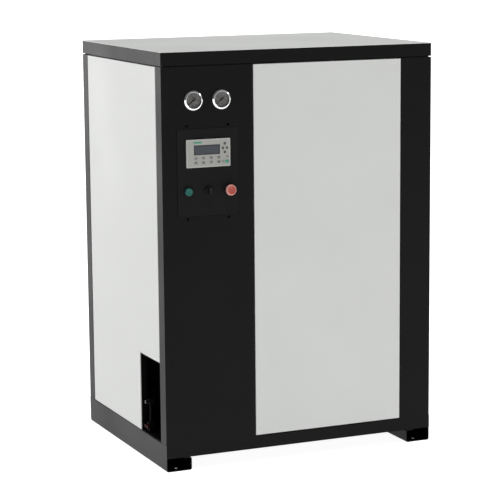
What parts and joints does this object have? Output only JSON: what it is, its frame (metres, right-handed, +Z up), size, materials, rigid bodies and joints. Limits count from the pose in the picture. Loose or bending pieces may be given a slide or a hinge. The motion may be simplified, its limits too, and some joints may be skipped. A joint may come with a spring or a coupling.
{
  "type": "refrigerated air dryer",
  "caption": "Floor-standing refrigerated compressed-air dryer: black frame with light grey panels, gauges, operator panel, push buttons and a service notch over two skids.",
  "frame": {"origin": "on the floor, at the centre of the four anchor holes in the skids", "axes": "+X to the right as seen from the front, +Y to the rear, +Z up"},
  "size_m": [1.1, 0.9424, 1.55],
  "materials": {
    "frame_black": "semi-gloss black powder coat",
    "panel_grey": "fine-textured light grey powder coat",
    "galvanised_sheet": "galvanised",
    "screw_steel": "blackened",
    "nylon": "natural nylon",
    "terminal_housing": "matt grey",
    "terminal_keypad": "matt membrane",
    "terminal_screen": "unlit display",
    "black_plastic": "moulded",
    "start_green": "moulded",
    "stop_plunger_plastic": "moulded",
    "stop_red": "moulded",
    "gauge_chrome": "polished",
    "dial_face": "printed dial",
    "lens_glass": "clear",
    "needle_black": "matt black",
    "compressor_black": "black enamel",
    "mount_rubber": "moulded rubber",
    "coil_aluminium": "finned",
    "guard_steel": "black wire",
    "foam_jacket": "foam jacket",
    "vessel_paint": "grey enamel",
    "copper": "drawn copper",
    "brass": "machined",
    "pipe_steel": "primed steel",
    "drain_tube": "hard nylon tube",
    "handle_red": "dipped red",
    "gland_plastic": "moulded",
    "cable_sheath": "sheathed"
  },
  "bodies": {
    "cabinet": {"air_inlet_pipe": "pipe_steel", "air_outlet_pipe": "pipe_steel", "auto_drain_valve": "black_plastic", "base_pan": "frame_black", "cable_gland": "gland_plastic", "casing_fasteners": "screw_steel", "compressor_mounts": "mount_rubber", "compressor_shell": "compressor_black", "compressor_terminal_box": "black_plastic", "condenser_coil": "coil_aluminium", "connection_niche": "frame_black", "contact_blocks": "black_plastic", "control_column": "frame_black", "control_plate": "frame_black", "discharge_pipe": "copper", "drain_outlet": "brass", "drain_pipes": "drain_tube", "drain_valve": "brass", "electrical_box": "frame_black", "exchanger_stand": "galvanised_sheet", "expansion_valve": "brass", "fan_guard": "guard_steel", "fan_motor": "compressor_black", "fan_shroud": "galvanised_sheet", "filter_drier": "vessel_paint", "front_right_post": "frame_black", "front_sill": "frame_black", "gauge_bezels": "gauge_chrome", "gauge_cases": "gauge_chrome", "gauge_dials": "dial_face", "gauge_lenses": "lens_glass", "heat_exchanger": "foam_jacket", "hot_gas_bypass": "copper", "left_skid": "frame_black", "liquid_pipes": "copper", "moisture_separator": "vessel_paint", "operator_panel_housing": "terminal_housing", "operator_panel_keypad": "terminal_keypad", "operator_panel_screen": "terminal_screen", "panel_catches": "nylon", "rear_pipe_column": "frame_black", "rear_right_post": "frame_black", "right_skid": "frame_black", "suction_pipe": "copper", "switch_collars": "black_plastic", "top_cover": "panel_grey", "top_frame": "frame_black", "wiring": "cable_sheath"},
    "front_panel": {"front_panel": "panel_grey"},
    "left_panel": {"left_panel": "panel_grey"},
    "right_panel": {"right_panel": "panel_grey"},
    "rear_panel": {"rear_panel": "panel_grey"},
    "start_button": {"start_button": "start_green"},
    "selector_knob": {"selector_knob": "black_plastic"},
    "stop_plunger": {"stop_plunger": "stop_plunger_plastic"},
    "stop_button_head": {"stop_button_head": "stop_red"},
    "air_pressure_needle": {"air_pressure_needle": "needle_black"},
    "refrigerant_pressure_needle": {"refrigerant_pressure_needle": "needle_black"},
    "fan_rotor": {"fan_rotor": "black_plastic"},
    "drain_valve_handle": {"drain_valve_handle": "handle_red"}
  },
  "joints": [
    {"name": "front_panel_pull", "type": "slide", "parent": "cabinet", "child": "front_panel", "axis": [0, -1, 0], "range_m": [0, 0.15]},
    {"name": "left_panel_pull", "type": "slide", "parent": "cabinet", "child": "left_panel", "axis": [-1, 0, 0], "range_m": [0, 0.15]},
    {"name": "right_panel_pull", "type": "slide", "parent": "cabinet", "child": "right_panel", "axis": [1, 0, 0], "range_m": [0, 0.15]},
    {"name": "rear_panel_pull", "type": "slide", "parent": "cabinet", "child": "rear_panel", "axis": [0, 1, 0], "range_m": [0, 0.15]},
    {"name": "start_button_press", "type": "slide", "parent": "cabinet", "child": "start_button", "axis": [0, 1, 0], "range_m": [0, 0.004], "stiffness_N_per_m": 600},
    {"name": "selector_turn", "type": "hinge", "parent": "cabinet", "child": "selector_knob", "pos_m": [-0.372, -0.44, 1.042], "axis": [0, 1, 0], "range_deg": [-45, 45]},
    {"name": "stop_press", "type": "slide", "parent": "cabinet", "child": "stop_plunger", "axis": [0, 1, 0], "range_m": [0, 0.005], "stiffness_N_per_m": 800},
    {"name": "stop_release_turn", "type": "hinge", "parent": "stop_plunger", "child": "stop_button_head", "pos_m": [-0.292, -0.45, 1.042], "axis": [0, 1, 0], "range_deg": [0, 45], "stiffness_Nm_per_rad": 0.05},
    {"name": "air_pressure_needle_swing", "type": "hinge", "parent": "cabinet", "child": "air_pressure_needle", "pos_m": [-0.427, -0.433, 1.373], "axis": [0, 1, 0], "range_deg": [0, 270], "stiffness_Nm_per_rad": 0.001},
    {"name": "refrigerant_pressure_needle_swing", "type": "hinge", "parent": "cabinet", "child": "refrigerant_pressure_needle", "pos_m": [-0.317, -0.433, 1.373], "axis": [0, 1, 0], "range_deg": [0, 270], "stiffness_Nm_per_rad": 0.001},
    {"name": "fan_spin", "type": "hinge", "parent": "cabinet", "child": "fan_rotor", "pos_m": [0.115, 0.265, 0.88], "axis": [0, 1, 0], "continuous": true},
    {"name": "drain_valve_turn", "type": "hinge", "parent": "cabinet", "child": "drain_valve_handle", "pos_m": [-0.54, -0.205, 0.124], "axis": [1, 0, 0], "range_deg": [0, 90]}
  ]
}
